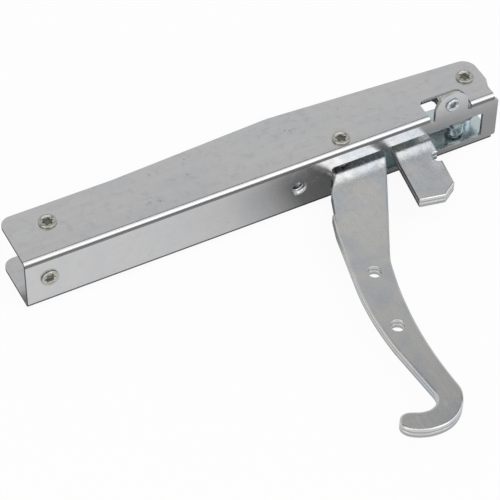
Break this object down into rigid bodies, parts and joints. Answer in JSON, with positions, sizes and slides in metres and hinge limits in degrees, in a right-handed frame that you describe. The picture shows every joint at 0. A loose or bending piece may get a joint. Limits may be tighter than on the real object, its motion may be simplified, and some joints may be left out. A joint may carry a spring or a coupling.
{
  "type": "oven door hinge",
  "caption": "Oven door hinge: folded steel channel with a sprung, laminated hook lever that swings out of its web, riveted cheeks and an upright tongue.",
  "frame": {"origin": "centre of the threaded fixing hole, on the outer face of the channel's web", "axes": "+X along the channel towards the pivot end, +Y from the web into the channel, +Z from the lower cheek to the upper cheek and the tongue"},
  "size_m": [0.2, 0.1536, 0.0337],
  "materials": {
    "channel_zinc": "clear zinc plate on rolled sheet, satin",
    "lever_zinc": "zinc plate on stamped plate, satin with a blue cast",
    "rivet_steel": "warm nickel plate, worn",
    "bright_zinc": "bright blue zinc plate",
    "bracket_zinc": "zinc plate, satin",
    "spring_steel": "oiled spring wire"
  },
  "bodies": {
    "channel": {"channel_body": "channel_zinc", "pivot_rivet": "rivet_steel", "stop_rivet": "rivet_steel", "anchor_rivet": "rivet_steel", "web_rivet": "rivet_steel", "tongue_rivet": "bright_zinc", "tongue_washer": "bright_zinc", "stop_sleeve": "bright_zinc", "anchor_sleeve": "bright_zinc", "pivot_spacer_lower": "bright_zinc", "pivot_spacer_upper": "bright_zinc", "spring_carrier": "bracket_zinc", "closing_spring": "spring_steel"},
    "lever": {"lever_plate_lower": "lever_zinc", "lever_plate_upper": "lever_zinc", "lever_bush": "bright_zinc", "link_pin": "bright_zinc", "link_washer": "bright_zinc", "link_collar": "bright_zinc", "link_clip": "spring_steel"},
    "link": {"pull_link": "bracket_zinc", "spring_end_plate": "bright_zinc", "cross_pin": "bright_zinc"}
  },
  "joints": [
    {"name": "lever_swing", "type": "hinge", "parent": "channel", "child": "lever", "pos_m": [0.0802, 0.0142, 0], "axis": [0, 0, 1], "range_deg": [0, 98], "stiffness_Nm_per_rad": 0.4, "springref_deg": -85.94, "deforming": ["closing_spring"]},
    {"name": "link_turn", "type": "hinge", "parent": "lever", "child": "link", "pos_m": [0.07379, 0.00862, 0], "axis": [0, 0, 1], "range_deg": [-98, 0]}
  ],
  "couplings": [
    {"joint": "link_turn", "follows": "lever_swing", "ratio": -1}
  ]
}
